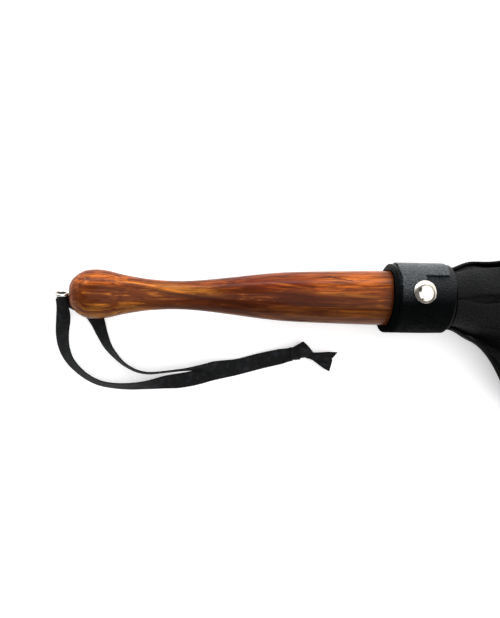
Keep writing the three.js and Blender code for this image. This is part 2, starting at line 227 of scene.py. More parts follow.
def turned(name, outline, sides, material, place, wobble=None):
    """Turns an outline of (along, radius) about the X axis. Points at radius 0 become tiny rings, and an
    outline that comes back to its start needs no end caps."""
    rings = []
    ring_uvs = []
    run = 0
    for index, (along, radius) in enumerate(outline):
        if index:
            run += hypot(along - outline[index - 1][0], radius - outline[index - 1][1])
        girth = max(radius, TINY_RADIUS)
        ring = []
        for j in range(sides):
            around = 2 * pi * j / sides
            here = Vector((along, -girth * sin(around), -girth * cos(around)))
            ring.append(wobble(here) if wobble else here)
        rings.append(ring)
        ring_uvs.append([(run, girth * 2 * pi * (j / sides - 0.5)) for j in range(sides + 1)])
    closed = outline[0] == outline[-1]
    return loft(name, rings, ring_uvs, material, place, caps=not closed)


def ribbon_section(width, thickness, across, edge_steps=2):
    """A flat strip's section with rounded edges: (offset across, offset through, UV, flesh side)."""
    half = width / 2 - thickness / 2
    section = []
    for i in range(across + 1):
        u = lerp(-half, half, i / across)
        section.append((u, thickness / 2, u, 0))
    for i in range(1, edge_steps + 1):
        swing = pi * i / (edge_steps + 1)
        u = half + thickness / 2 * sin(swing)
        section.append((u, thickness / 2 * cos(swing), half + i * EDGE_UV, 0.5))
    for i in range(across + 1):
        u = lerp(half, -half, i / across)
        section.append((u, -thickness / 2, width + half - u, 1))
    for i in range(1, edge_steps + 1):
        swing = pi * i / (edge_steps + 1)
        u = -half - thickness / 2 * sin(swing)
        section.append((u, -thickness / 2 * cos(swing), width * 2 + i * EDGE_UV, 0.5))
    return section


def closing_uv(width):
    """Where the UV across a strip's section ends, after both faces and both edges."""
    return 2 * width + 3 * EDGE_UV


def ribbon(name, frame_at, places, width, thickness, material, place, across=8, edge_steps=2):
    """A strip lofted through places s along it; frame_at(s) gives its centre, its side and face directions,
    how sharply its section cups and what share of its width shows."""
    section = ribbon_section(width, thickness, across, edge_steps)
    rings = []
    ring_uvs = []
    for s in places:
        here = frame_at(s)
        cup = here.get("cup", 0)
        share = here.get("share", 1)
        ring = []
        for u, v, _, _ in section:
            point = here["centre"].copy()
            if abs(cup) > 1e-4:
                reach = 1 / cup + v
                point += here["side"] * (reach * sin(u * share * cup))
                point += here["face"] * (reach * cos(u * share * cup) - 1 / cup)
            else:
                point += here["side"] * (u * share) + here["face"] * v
            ring.append(point)
        rings.append(ring)
        uvs = [(s, v) for _, _, v, _ in section]
        ring_uvs.append(uvs + [(s, closing_uv(width))])
    return loft(name, rings, ring_uvs, material, place, [flesh for _, _, _, flesh in section])


# ---- materials ----
class Nodes:
    """Short ways to add and join the nodes of a tree."""

    def __init__(self, tree):
        self.tree = tree

    def feed(self, socket, value):
        if isinstance(value, bpy.types.NodeSocket):
            self.tree.links.new(value, socket)
        elif value is not None:
            socket.default_value = value

    def node(self, kind, inputs=(), **settings):
        made = self.tree.nodes.new("ShaderNode" + kind)
        for key, value in settings.items():
            setattr(made, key, value)
        for key, value in dict(inputs).items():
            self.feed(made.inputs[key], value)
        return made

    def place(self, kind="Object"):
        return self.node("TexCoord").outputs[kind]

    def scaled(self, vector, scale, shift=(0, 0, 0)):
        made = self.node("Mapping", {"Vector": vector, "Scale": scale, "Location": shift})
        return made.outputs[0]

    def parts(self, vector):
        return self.node("SeparateXYZ", {0: vector}).outputs

    def noise(self, vector, scale, detail=3, roughness=0.55, distortion=0):
        made = self.node("TexNoise", {
            "Vector": vector, "Scale": scale, "Detail": detail, "Roughness": roughness,
            "Distortion": distortion})
        return made.outputs["Fac"]

    def cells(self, vector, scale):
        return self.node("TexVoronoi", {"Vector": vector, "Scale": scale}).outputs["Distance"]

    def math(self, operation, a, b=None, c=None, clamp=False):
        made = self.node("Math", operation=operation, use_clamp=clamp)
        for socket, value in zip(made.inputs, (a, b, c)):
            self.feed(socket, value)
        return made.outputs[0]

    def rise(self, value, low, high, start=0, end=1, kind="SMOOTHSTEP"):
        """Goes from start to end as value goes from low to high."""
        made = self.node("MapRange", {
            "Value": value, "From Min": low, "From Max": high, "To Min": start, "To Max": end},
            interpolation_type=kind)
        return made.outputs["Result"]

    def mix(self, factor, a, b, blend_type="MIX"):
        made = self.node("Mix", data_type="RGBA", blend_type=blend_type)
        self.feed(made.inputs[0], factor)
        self.feed(made.inputs[6], a)
        self.feed(made.inputs[7], b)
        return made.outputs[2]

    def bump(self, height, strength, distance):
        made = self.node("Bump", {"Height": height, "Strength": strength, "Distance": distance})
        return made.outputs[0]


class Finish(Nodes):
    """A Principled material. Constants are the shader's own sockets, with _ for a space."""

    def __init__(self, name, **constants):
        self.material = bpy.data.materials.new(name)
        self.material.use_nodes = True
        super().__init__(self.material.node_tree)
        self.shader = self.tree.nodes["Principled BSDF"]
        for socket, value in constants.items():
            self.shader.inputs[socket.replace("_", " ")].default_value = value

    def surface(self, socket, value):
        self.feed(self.shader.inputs[socket], value)


def colour(red, green, blue):
    """A linear colour from 0 to 255 screen values."""
    def linear(value):
        v = value / 255
        return v / 12.92 if v <= 0.04045 else ((v + 0.055) / 1.055) ** 2.4
    return (linear(red), linear(green), linear(blue), 1)


# Streaks on the handle's upper side: tone, start and end in plan, width, length of their fading ends, and
# how far they cover what is under them
DARK = colour(58, 26, 14)
BRIGHT = colour(232, 138, 52)
GOLDEN = colour(198, 130, 60)
RED = colour(122, 40, 18)
WOOD_STREAKS = [
    (GOLDEN, (44, 3.4), (74, 1.2), 4.2, 9, 0.75),
    (RED, (84, 7.2), (120, 7.6), 4.6, 9, 0.85),
    (DARK, (28, 4.2), (70, -2.2), 1.5, 9, 0.8),
    (DARK, (64, -1.2), (101, -6.4), 2.4, 14, 0.75),
    (DARK, (40, -4.9), (96, -7.4), 2.6, 14, 0.7),
    (DARK, (2, 4.4), (30, 1.8), 1.3, 8, 0.5),
    (BRIGHT, (25, 7.2), (57, 1.3), 0.8, 7, 0.95),
    (BRIGHT, (103, 6.8), (119, 5.6), 0.9, 6, 0.75),
    (GOLDEN, (118, 2.6), (156, -0.4), 1.6, 12, 0.3),
    (DARK, (96, 3.0), (136, -2.0), 1.2, 14, 0.45),
    (DARK, (110, -3.2), (158, -6.8), 1.5, 12, 0.45),
]


def streak(finish, x, y, start, end, width, soften):
    """1 along a slanting line on the handle's upper side, from start to end in millimetres."""
    slope = (end[1] - start[1]) / (end[0] - start[0])
    line = finish.math("MULTIPLY_ADD", x, slope, (start[1] - slope * start[0]) * MM)
    away = finish.math("ABSOLUTE", finish.math("SUBTRACT", y, line))
    near = finish.rise(away, width * MM, 0)
    begun = finish.rise(x, (start[0] - soften) * MM, (start[0] + soften) * MM)
    left = finish.rise(x, (end[0] + soften) * MM, (end[0] - soften) * MM)
    return finish.math("MULTIPLY", near, finish.math("MULTIPLY", begun, left))


def wandering(finish, value, noise, reach):
    """value, moved by up to half of reach either way as a noise goes from 0 to 1."""
    return finish.math("ADD", value, finish.math("MULTIPLY_ADD", noise, reach, -reach / 2))


def wood_figure(finish, place, y):
    """A brown middle, with painted light that turns the upper side orange and the lower side golden, and
    long dark and light figure.
    """
    slow = finish.noise(finish.scaled(place, (11, 60, 60), (0.3, 0, 0)), 1, 2, 0.5, 0.4)
    figure = finish.noise(finish.scaled(place, (38, 420, 420)), 1, 5, 0.62, 0.6)
    around = wandering(finish, y, slow, 0.010)
    # Painted light: orange towards the upper side over the brown middle, then golden towards the lower side.
    middle_and_lit_top = finish.mix(finish.rise(around, 0.0005, 0.0075), colour(112, 56, 28), colour(186, 96, 40))
    base = finish.mix(finish.rise(around, -0.0025, -0.0085), middle_and_lit_top, colour(150, 98, 46))
    base = finish.mix(finish.rise(figure, 0.42, 0.62), base, colour(94, 44, 22))
    base = finish.mix(finish.rise(figure, 0.44, 0.33, 0, 0.7), base, colour(204, 122, 54))
    return base, figure


def wood_shades(finish, place, x, y, base):
    """Deeper along the middle, painted shade on the lower side, painted light at both ends, with narrow dark
    bands.
    """
    deep = finish.math("MULTIPLY", finish.rise(x, 0.03, 0.1), finish.rise(x, 0.145, 0.115))
    base = finish.mix(deep, base, (0.62, 0.52, 0.46, 1), "MULTIPLY")
    # Painted shade on the lower side towards the shoulder.
    shaded = finish.math("MULTIPLY", finish.rise(y, -0.001, -0.009), finish.rise(x, 0.105, 0.14))
    base = finish.mix(shaded, base, (0.5, 0.4, 0.36, 1), "MULTIPLY")
    bands = finish.noise(finish.scaled(place, (30, 1100, 1100), (0.2, 0.1, 0)), 1, 3, 0.6, 0.3)
    base = finish.mix(finish.rise(bands, 0.52, 0.6, 0, 0.6), base, colour(70, 28, 13))
    base = finish.mix(1, base, (1, 0.93, 0.72, 1), "MULTIPLY")
    # Painted light: both ends of the handle lighter.
    lit = finish.math("MAXIMUM", finish.rise(x, 0.05, 0.03), finish.rise(x, 0.12, 0.145))
    return finish.mix(lit, base, (1.12, 1.15, 1.05, 1), "MULTIPLY")


def varnished_wood():
    """Streaked wood under a thin varnish, with pores, a short crack and a painted shadow at the end under
    the keeper's rim.
    """
    finish = Finish("varnished_wood", IOR=1.35, Specular_IOR_Level=0.06,
                    Coat_Weight=0.16, Coat_Roughness=0.07, Coat_IOR=1.4)
    place = finish.place()
    x, y, _ = finish.parts(place)
    drift = finish.noise(finish.scaled(place, (18, 90, 90)), 1, 2)
    fine = finish.noise(finish.scaled(place, (150, 1700, 1700)), 1, 4, 0.65)
    fleck = finish.noise(finish.scaled(place, (230, 1900, 1900), (0.1, 0.4, 0)), 1, 2, 0.5)
    base, figure = wood_figure(finish, place, y)
    steady = wandering(finish, y, drift, 0.004)
    for tone, start, end, width, soften, share in WOOD_STREAKS:
        seen = streak(finish, x, steady, start, end, width, soften)
        broken = finish.math("MULTIPLY", seen, finish.rise(figure, 0.28, 0.5, share * 0.7, share))
        base = finish.mix(broken, base, tone)
    base = wood_shades(finish, place, x, y, base)
    pores = finish.rise(fleck, 0.66, 0.74)
    base = finish.mix(finish.math("MULTIPLY", pores, 0.75), base, colour(44, 20, 12))
    base = finish.mix(finish.rise(fine, 0.35, 0.72, 0, 0.4), base, colour(86, 40, 20))
    crack = streak(finish, x, wandering(finish, y, fleck, 0.0012), (132.3, 10.6), (145.2, 8.2), 0.42, 1.2)
    base = finish.mix(crack, base, colour(18, 8, 5))
    # Painted shadow on the wood's end where the keeper's rim overhangs it.
    painted_rim_shadow = finish.rise(x, 0.156, 0.1675, 0, 0.75)
    finish.surface("Base Color", finish.mix(painted_rim_shadow, base, colour(70, 30, 14)))
    relief = finish.math("ADD", finish.math("MULTIPLY", crack, -3), finish.math("MULTIPLY", pores, -0.5))
    finish.surface("Normal", finish.bump(relief, 0.5, 0.0001))
    gentle = finish.noise(finish.scaled(place, (60, 160, 160)), 1, 2)
    finish.surface("Coat Normal", finish.bump(gentle, 0.12, 0.0004))
    finish.surface("Roughness", finish.rise(fine, 0.2, 0.8, 0.26, 0.42))
    return finish.material


def pebbled_leather(name, tone, gloss, relief, shine, raw=False, handled=False):
    """Black leather with a pressed grain. Raw adds a dull flesh side and cut edges. Handled leather is
    polished on its upper side, and dull on its lower side and along its rolled end."""
    finish = Finish(name, IOR=1.5, Specular_IOR_Level=shine)
    place = finish.place("UV")
    ripple = finish.node("TexNoise", {"Vector": place, "Scale": 700, "Detail": 2}).outputs["Color"]
    shift = finish.node("VectorMath", {0: ripple, 1: (0.0006, 0.0006, 0)}, operation="MULTIPLY").outputs[0]
    bent = finish.node("VectorMath", {0: place, 1: shift}, operation="ADD").outputs[0]
    pebbles = finish.cells(bent, 1050)
    small = finish.cells(bent, 2300)
    creases = finish.noise(finish.scaled(place, (150, 60, 1)), 1, 3)
    raised = finish.rise(pebbles, 0.12, 0.75, 1, 0)
    height = finish.math("ADD", raised, finish.rise(small, 0.1, 0.8, 0.35, 0))
    height = finish.math("MULTIPLY_ADD", creases, 0.6, height)
    valley = finish.rise(pebbles, 0.35, 0.8)
    dull = finish.rise(creases, 0.3, 0.7, gloss - 0.05, gloss + 0.08)
    roughness = finish.math("MULTIPLY_ADD", valley, 0.15, dull)
    base = finish.mix(finish.math("MULTIPLY", valley, 0.6), tone, colour(5, 5, 6))
    if raw:
        flesh = finish.node("Attribute", attribute_name="flesh").outputs["Fac"]
        fibre = finish.noise(place, 4200, 4, 0.7)
        fuzz = finish.mix(fibre, colour(12, 12, 13), colour(28, 27, 28))
        cut = finish.mix(fibre, colour(10, 10, 10), colour(24, 22, 21))
        under = finish.rise(flesh, 0.6, 0.9)
        edge = finish.rise(flesh, 0.1, 0.4)
        base = finish.mix(edge, base, finish.mix(under, cut, fuzz))
        roughness = finish.math("MULTIPLY_ADD", edge, 0.35, roughness, clamp=True)
    if handled:
        x, y, _ = finish.parts(finish.place())
        upper = finish.rise(y, -0.004, 0.009, 0.02, shine)
        body = finish.rise(x, 0.1675, 0.1705, 0.1, 1)
        finish.surface("Specular IOR Level", finish.math("MULTIPLY", upper, body))
        finish.surface("Specular Tint", (0.84, 0.92, 1, 1))
        roughness = finish.math("ADD", roughness, finish.rise(y, 0.004, -0.006, 0, 0.35))
    finish.surface("Base Color", base)
    finish.surface("Roughness", roughness)
    finish.surface("Normal", finish.bump(height, 1, 0.00028 * relief))
    return finish.material


def woven_tape():
    """Black tape with fine ribs across it and a twill of thread crossings."""
    rib_pitch = 0.00055
    thread_pitch = 0.0004
    finish = Finish("woven_tape", Roughness=0.66, Specular_IOR_Level=0.16)
    place = finish.place("UV")
    along, across, _ = finish.parts(place)
    ribs = finish.math("SINE", finish.math("MULTIPLY", along, 2 * pi / rib_pitch))
    threads = finish.math("SINE", finish.math("MULTIPLY", across, 2 * pi / thread_pitch))
    weave = finish.math("MULTIPLY", ribs, threads)
    wear = finish.noise(place, 260, 3)
    fuzz = finish.noise(place, 5200, 3, 0.7)
    height = finish.math("ADD", finish.math("MULTIPLY", ribs, 0.5), finish.math("MULTIPLY", weave, 0.4))
    height = finish.math("MULTIPLY_ADD", fuzz, 0.8, height)
    tone = finish.mix(finish.rise(weave, -0.7, 0.7), colour(7, 8, 8), colour(14, 15, 15))
    tone = finish.mix(finish.rise(wear, 0.45, 0.75, 0, 0.5), tone, colour(46, 49, 56))
    finish.surface("Base Color", tone)
    finish.surface("Normal", finish.bump(height, 0.55, 0.00012))
    return finish.material


def bright_metal(name, tone, gloss, scratch):
    """Plated or plain metal with a slightly smeared polish and fine scratches."""
    finish = Finish(name, Metallic=1)
    place = finish.place()
    smear = finish.noise(place, 420, 4, 0.6, 0.5)
    lines = finish.noise(finish.scaled(place, (900, 5200, 900)), 1, 3, 0.6)
    smeared = finish.rise(smear, 0.35, 0.7, 0, 0.35)
    finish.surface("Base Color", finish.mix(smeared, tone, colour(168, 152, 128)))
    finish.surface("Roughness", finish.rise(smear, 0.3, 0.75, gloss, gloss + 0.12))
    finish.surface("Normal", finish.bump(lines, scratch, 0.00003))
    return finish.material


WOOD = varnished_wood()
KEEPER_LEATHER = pebbled_leather("keeper_leather", colour(7, 8, 8), 0.24, 1, 0.2, handled=True)
OVERLAP_LEATHER = pebbled_leather("overlap_leather", colour(7, 8, 8), 0.17, 2, 0.85, handled=True)
WRAP_LEATHER = pebbled_leather("wrap_leather", colour(16, 16, 17), 0.55, 0.5, 0.2)
FALL_LEATHER = pebbled_leather("fall_leather", colour(8, 9, 8), 0.34, 0.9, 0.1, raw=True)
WEBBING = woven_tape()
CHROME = bright_metal("rivet_chrome", colour(232, 226, 214), 0.07, 0.03)
NICKEL = bright_metal("eye_nickel", colour(226, 224, 218), 0.14, 0.08)
STEEL = bright_metal("tack_steel", colour(150, 150, 154), 0.32, 0.2)


# ---- handle ----
def between(a, b, c, d, t):
    """The value at t from b to c on a smooth curve through a, b, c and d."""
    bend = 2 * a - 5 * b + 4 * c - d
    twist = 3 * b - a - 3 * c + d
    return 0.5 * (2 * b + (c - a) * t + bend * t * t + twist * t**3)


def spline(points, steps):
    """A smooth curve through points, with steps places on each stretch."""
    places = []
    for i in range(len(points) - 1):
        before = points[max(i - 1, 0)]
        after = points[min(i + 2, len(points) - 1)]
        for step in range(steps):
            around = zip(before, points[i], points[i + 1], after)
            places.append(tuple(between(*values, step / steps) for values in around))
    places.append(tuple(points[-1]))
    return places


def make_handle():
    """The turned wood, from the bottom of the screw's hole round to the end of the neck."""
    swell = [
        (0.5, 5.2), (1.5, 7.1), (3, 8.7), (5.5, 10.65), (9, 12.05), (POMMEL["at"], POMMEL["radius"]),
        (20, 11.85), (25.5, 10.52), (32, 9.2), (41, 7.95), (53.5, 7.28), (66.4, 7.87),
        (82, 9.6), (98, 11.57), (114, 12.95), (141, 13.9), (SHOULDER["at"] - 0.6, SHOULDER["radius"]),
    ]
    outline = [(17, 0), (17, EYE["shank"] + GAP), (0, EYE["shank"] + GAP), (0, 2.6), (0.12, 4)]
    outline += spline(swell, 6)
    outline += [
        (SHOULDER["at"], SHOULDER["radius"] - 0.6), (SHOULDER["at"], NECK["radius"]),
        (NECK["end"] - 2, NECK["radius"]), (NECK["end"], NECK["tip"]), (NECK["end"], 0),
    ]
    wood = turned("turned_handle", outline, 144, WOOD, handle_place)
    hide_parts("handle_wood")
    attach(wood, "handle")


def make_screw_eye():
    """A ring of bright wire with a collar and a threaded shank in the wood."""
    sides = 20
    steps = 72
    ring_radius = EYE["ring"]
    turn = radians(EYE["turn"])
    rings = []
    ring_uvs = []
    for i in range(steps + 1):
        swing = 2 * pi * i / steps
        out = Vector((cos(swing), sin(swing) * sin(turn), sin(swing) * cos(turn)))
        face = Vector((0, cos(turn), -sin(turn)))
        middle = Vector((-ring_radius - EYE["wire"], 0, 0)) + out * ring_radius
        ring = []
        for j in range(sides):
            around = 2 * pi * j / sides
            ring.append(middle + out * (EYE["wire"] * cos(around)) + face * (EYE["wire"] * sin(around)))
        rings.append(ring)
        ring_uvs.append([(swing * ring_radius, j * 0.2) for j in range(sides + 1)])
    ring = loft("screw_eye_ring", rings[:-1] + [rings[0]], ring_uvs, NICKEL, handle_place, caps=False)
    outline = [(-0.7, 0), (-0.7, 0.82), (0.1, 0.95), (0.35, 1.25), (0.5, 1.25), (0.62, 0.9), (1.5, 0.9)]
    pitch = 1.2
    for turn_number in range(9):
        x = 2 + pitch * turn_number
        outline += [(x, 0.78), (x + pitch / 2, EYE["shank"])]
    outline += [(13, 0.7), (14.5, 0)]
    shank = turned("screw_eye_shank", outline, 28, NICKEL, handle_place)
    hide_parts("screw_eye")
    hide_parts("screw_eye")
    for piece in (ring, shank):
        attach(piece, "wrist_loop")


# ---- keeper ----
SEATED = 0.15


def skewed(point):
    """The keeper stands a little askew on the handle."""
    return Vector((point.x + KEEPER["skew"] * point.y, point.y, point.z))


def make_keeper():
    """A sleeve with a rolled end over the wood, slightly out of round and with wavy edges."""
    outer = KEEPER["outer"]
    inner = outer - KEEPER["wall"]
    lip_inner = SHOULDER["radius"] + GAP
    lip_end = KEEPER["start"] + KEEPER["lip"]
    roll = 0.7
    rim = 0.5
    inner_rim = 0.4
    straight = 14
    outline = [(lip_end, lip_inner), (KEEPER["start"] + roll, lip_inner)]
    for i in range(7):
        swing = -pi / 2 + pi * i / 6 * 0.5
        outline.append((KEEPER["start"] + roll + roll * sin(swing), lip_inner + roll - roll * cos(swing)))
    for i in range(7):
        swing = pi / 2 * i / 6
        outline.append((KEEPER["start"] + roll - roll * cos(swing), outer - roll + roll * sin(swing)))
    for i in range(1, straight):
        outline.append((lerp(KEEPER["start"] + roll, KEEPER["end"] - rim, i / straight), outer))
    for i in range(6):
        swing = pi / 2 * i / 5
        outline.append((KEEPER["end"] - rim + rim * sin(swing), outer - rim + rim * cos(swing)))
    for i in range(5):
        swing = pi / 2 * i / 4
        outline.append((
            KEEPER["end"] - inner_rim + inner_rim * cos(swing), inner + inner_rim - inner_rim * sin(swing)))
    outline += [(lip_end, inner), (lip_end, lip_inner)]
    length = 33

    def soft(point):
        around = atan2(point.y, point.z)
        along = (point.x - KEEPER["start"]) / length
        sway = 0.12 * sin(3 * around + 1) * sin(pi * along) + 0.06 * sin(9 * around + 5 * along)
        edge = 0.22 * sin(2 * around + 0.6) + 0.1 * sin(5 * around)
        radius = hypot(point.y, point.z)
        scale = 1 + (sway if radius > inner + 0.5 else 0) / radius
        return skewed(Vector((point.x + edge * (2 * along - 1), point.y * scale, point.z * scale)))

    keeper = turned("leather_keeper", outline, 180, KEEPER_LEATHER, handle_place, soft)
    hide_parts("keeper")
    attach(keeper, "handle")


def make_flap():
    """The keeper's overlapping end, an L-shaped sheet with a tongue under the rivet and a wavy cut edge."""
    radius = KEEPER["outer"] + GAP + FLAP["thickness"] / 2 - SEATED
    round_steps = 24
    long_steps = 12
    leans = [lerp(FLAP["to"], FLAP["step_lean"], i / round_steps) for i in range(round_steps)]
    leans += [lerp(FLAP["step_lean"], FLAP["from"], i / round_steps) for i in range(round_steps + 1)]
    lengths = [lerp(FLAP["start"], FLAP["step_at"], i / long_steps) for i in range(long_steps)]
    lengths += [lerp(FLAP["step_at"], FLAP["end"], i / long_steps) for i in range(long_steps + 1)]
    points = []
    index = {}
    for i, x in enumerate(lengths):
        for j, lean in enumerate(leans):
            past_step = j > round_steps
            if i > long_steps and past_step:
                continue
            index[i, j] = len(points)
            cut = 0.35 * sin(radians(lean * 5)) + 0.2 * sin(radians(lean * 11 + 40))
            wave = cut * max(0, 1 - i / long_steps)
            tuck = 0.35 * smooth((j - round_steps - 20) / 5) if past_step else 0
            reach = radius - tuck
            here = Vector((x + wave, reach * sin(radians(lean)), reach * cos(radians(lean))))
            points.append(skewed(here))
    faces = []
    uvs = []
    for (i, j) in index:
        corners = [(i, j), (i, j + 1), (i + 1, j + 1), (i + 1, j)]
        if all(corner in index for corner in corners):
            faces.append(tuple(index[corner] for corner in corners))
            uvs += [(lengths[a], radius * radians(leans[b])) for a, b in corners]
    flap = new_object("keeper_overlap", points, faces, uvs, OVERLAP_LEATHER, handle_place)
    thicken = flap.modifiers.new("thicken", "SOLIDIFY")
    thicken.thickness = FLAP["thickness"] * MM
    thicken.offset = 0
    soften = flap.modifiers.new("soften", "BEVEL")
    soften.width = 0.22 * MM
    soften.segments = 2
    soften.angle_limit = radians(50)
    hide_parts("keeper_flap")
    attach(flap, "handle")


def make_rivet():
    """A domed cap on the flap."""
    seat = KEEPER["outer"] + 2 * GAP + FLAP["thickness"] - SEATED
    outline = [(0, 0), (0, RIVET["cap"] - 0.9), (0, RIVET["cap"] - 0.2), (0.2, RIVET["cap"])]
    steps = 20
    for i in range(steps + 1):
        out = cos((pi / 2) * (i / steps))
        outline.append((0.45 + (RIVET["height"] - 0.45) * (1 - out**3), (RIVET["cap"] - 0.05) * out))
    place = (handle_place @ Matrix.Translation((RIVET["at"] * MM, 0, 0))
             @ Matrix.Rotation(-radians(RIVET["lean"]), 4, "X")
             @ Matrix.Translation((0, 0, seat * MM)) @ Matrix.Rotation(-pi / 2, 4, "Y"))
    cap = turned("rivet_dome", outline, 72, CHROME, place)
    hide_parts("rivet_cap")
    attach(cap, "handle")


def finish_hidden_pieces():
    """Wraps, tacks and nail keep their CAD shapes, under the keeper, and take fine materials."""
    for name, node in frame["nodes"].items():
        if name.startswith("hide_wrap"):
            node.data.materials.clear()
            node.data.materials.append(WRAP_LEATHER)
        if name.startswith("hide_tack") or name == "rivet_nail":
            node.data.materials.clear()
            node.data.materials.append(STEEL)


# ---- falls ----
def fall_route(spec):
    """Walks a fall from the keeper to its tip and returns what a ribbon needs at each length."""
    radius = WRAP[spec["from"]]
    around = radians(spec["angle"])
    start_height = axis_height(INSIDE_KEEPER) + radius * sin(around)
    rest_height = HIDE["thickness"] / 2 + spec["layer"] * FALL["layer"]
    turned_up = spec["angle"] % 180 - 90
    inwards = 1 if spec["angle"] < 180 else -1

    def heading_at(s):
        swell = PUFF["degrees"] * cos(around) * sin(pi * min(s / PUFF["length"], 1))
        change = spec["settle"] - spec["leave"]
        leave = spec["leave"] * smooth(s / LEAVE_OVER)
        return radians(swell + leave + change * smooth((s - SETTLE_FROM) / SETTLE_OVER))

    def height_at(s):
        return start_height + (rest_height - start_height) * smooth(s / spec["drop"])

    walked = [(INSIDE_KEEPER, radius * cos(around))]
    for s in range(spec["length"] + 2):
        slope = height_at(s + 1) - height_at(s)
        flat = max(0, 1 - slope * slope) ** 0.5
        heading = heading_at(s + 0.5)
        walked.append((walked[-1][0] + flat * cos(heading), walked[-1][1] + flat * sin(heading)))

    def at(s):
        index = min(int(s), len(walked) - 2)
        part = s - index
        heading = heading_at(s)
        slope = height_at(s + 0.5) - height_at(s - 0.5)
        along = Vector((cos(heading), sin(heading), slope)).normalized()
        level = Vector((-sin(heading), cos(heading), 0))
        held = PUFF["hold"] * abs(cos(around))
        roll = radians(turned_up) * (1 - smooth((s - held) / spec["turn"]))
        side = Matrix.Rotation(roll, 3, along) @ level
        centre = Vector((
            lerp(walked[index][0], walked[index + 1][0], part),
            lerp(walked[index][1], walked[index + 1][1], part),
            height_at(s),
        ))
        return {
            "centre": centre, "side": side, "face": along.cross(side),
            "cup": inwards / radius * (1 - smooth(s / ROUND_OVER)),
        }
    return at


def length_at(route, line):
    """How far along a fall it crosses a line across the lash."""
    s = 0
    while route(s)["centre"].x < line:
        s += 0.25
    return s


def stations(start, end, pace):
    """Even places from start to end, about a pace apart."""
    count = max(2, round((end - start) / pace))
    return [lerp(start, end, i / count) for i in range(count + 1)]


def lay_of_table(piece):
    """A shared, very slight waviness of all the falls, so that they stay clear of each other."""
    for vertex in piece.data.vertices:
        x = (vertex.co.x - butt.x) / MM
        y = (vertex.co.y - butt.y) / MM
        grown = smooth((x - 232) / 60)
        wave = 0.5 + 0.3 * sin(x / 17 + y / 40) + 0.2 * sin(x / 31 - y / 15 + 2)
        vertex.co.z += 1.1 * MM * grown * wave


def fall_piece(name, route, start, end, ends_loose):
    """One stretch of a fall as a strip of leather; a loose end has its corners eased."""
    def frame_at(s):
        here = route(s)
        if ends_loose:
            here["share"] = 1 - 0.12 * smooth((s - end + 3) / 3)
        return here

    piece = ribbon(name, frame_at, stations(start, end, 2), FALL["width"], HIDE["thickness"],
                   FALL_LEATHER, plan_place, across=10, edge_steps=3)
    piece.data.transform(piece.matrix_world)
    piece.matrix_world = Matrix.Identity(4)
    lay_of_table(piece)
    return piece


def make_falls():
    for spec in FALLS:
        name = spec["name"]
        leather = "leather_" + name
        route = fall_route(spec)
        length = spec["length"]
        if spec["layer"] < LIFTING_LAYER:
            piece = fall_piece(leather, route, 0, length, True)
            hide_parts(name + "_root", name)
            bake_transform(piece)
            continue
        seam = length_at(route, SEAM_LINE)
        root = fall_piece(leather + "_root", route, 0, seam, False)
        tail = fall_piece(leather, route, seam, length, True)
        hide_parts(name + "_root", name + "_middle")
        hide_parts(name)
        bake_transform(root)
        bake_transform(tail)


# ---- wrist loop ----
def tape_frames(points, pace):
    """Frames along a tape's listed points, in millimetres, one about every pace."""
    fine = spline([tuple(value / MM for value in point[:3]) + (point[3],) for point in points], 12)
    frames = []
    run = 0
    for index, place in enumerate(fine):
        if index:
            run += (Vector(place[:3]) - Vector(fine[index - 1][:3])).length
        if frames and run < frames[-1]["s"] + pace and index < len(fine) - 1:
            continue
        before = Vector(fine[max(index - 1, 0)][:3])
        after = Vector(fine[min(index + 1, len(fine) - 1)][:3])
        along = (after - before).normalized()
        level = Vector((0, 0, 1)).cross(along).normalized()
        side = Matrix.Rotation(radians(place[3]), 3, along) @ level
        frames.append({"s": run, "centre": Vector(place[:3]), "side": side, "face": along.cross(side)})
    return frames


def tape_piece(name, frames, cup_at, share_at, shear=0):
    """A length of tape through ready frames, with its own cupping, gathering and slanting cut end."""
    end = frames[-1]["s"]
    by_length = {here["s"]: here for here in frames}
    for here in frames:
        along = here["side"].cross(here["face"])
        here["side"] = here["side"] + along * (shear * smooth((here["s"] - end + 4) / 4))
        here["cup"] = cup_at(here["s"], end)
        here["share"] = share_at(here["s"], end)
    return ribbon(name, by_length.get, [here["s"] for here in frames], TAPE["width"], TAPE["thickness"],
                  WEBBING, plan_place, across=10)


def tucked(frames, before, after):
    """The same run of tape, carried on straight at its two ends by so many millimetres."""
    first = dict(frames[0])
    last = dict(frames[-1])
    first["centre"] = first["centre"] - first["side"].cross(first["face"]) * before
    last["centre"] = last["centre"] + last["side"].cross(last["face"]) * after
    last["s"] += after
    for here in frames:
        here["s"] += before
    last["s"] += before
    return [first] + frames + [last]


def make_loop_leg(name, node, points):
    """One leg of the loop, from inside the bight on the eye to inside the knot."""
    frames = tucked(tape_frames(points, 1.4), 1.5, 2.4)

    def gathered(s, end):
        return 0.62 + 0.38 * smooth(s / 14) - 0.14 * smooth((s - end + 7) / 6)

    def curled(s, end):
        return 0.06 * (1 - smooth(s / 30)) - 0.07 * smooth((s - end + 8) / 8)

    leg = tape_piece(name, frames, curled, gathered)
    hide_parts(node)
    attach(leg, "wrist_loop")


def make_bight():
    """The tape's gathered bend round the lowest part of the eye's wire."""
    turn = radians(EYE["turn"])
    middle = Vector((
        -EYE["ring"] - EYE["wire"], EYE["ring"] * sin(turn), axis_height(-4) - EYE["ring"] * cos(turn)))
    radius = EYE["wire"] + 0.45 + 0.4

    def frame_at(s):
        swing = radians(lerp(212, -62, s / 6))
        face = Vector((0, cos(swing), sin(swing)))
        return {"centre": middle + face * radius, "side": Vector((-1, 0, 0)), "face": face}

    bight = ribbon("tape_bight", frame_at, stations(0, 6, 0.25), 3.6, 0.8, WEBBING, plan_place, across=8)
    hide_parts("loop_bight")
    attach(bight, "wrist_loop")
    return bight


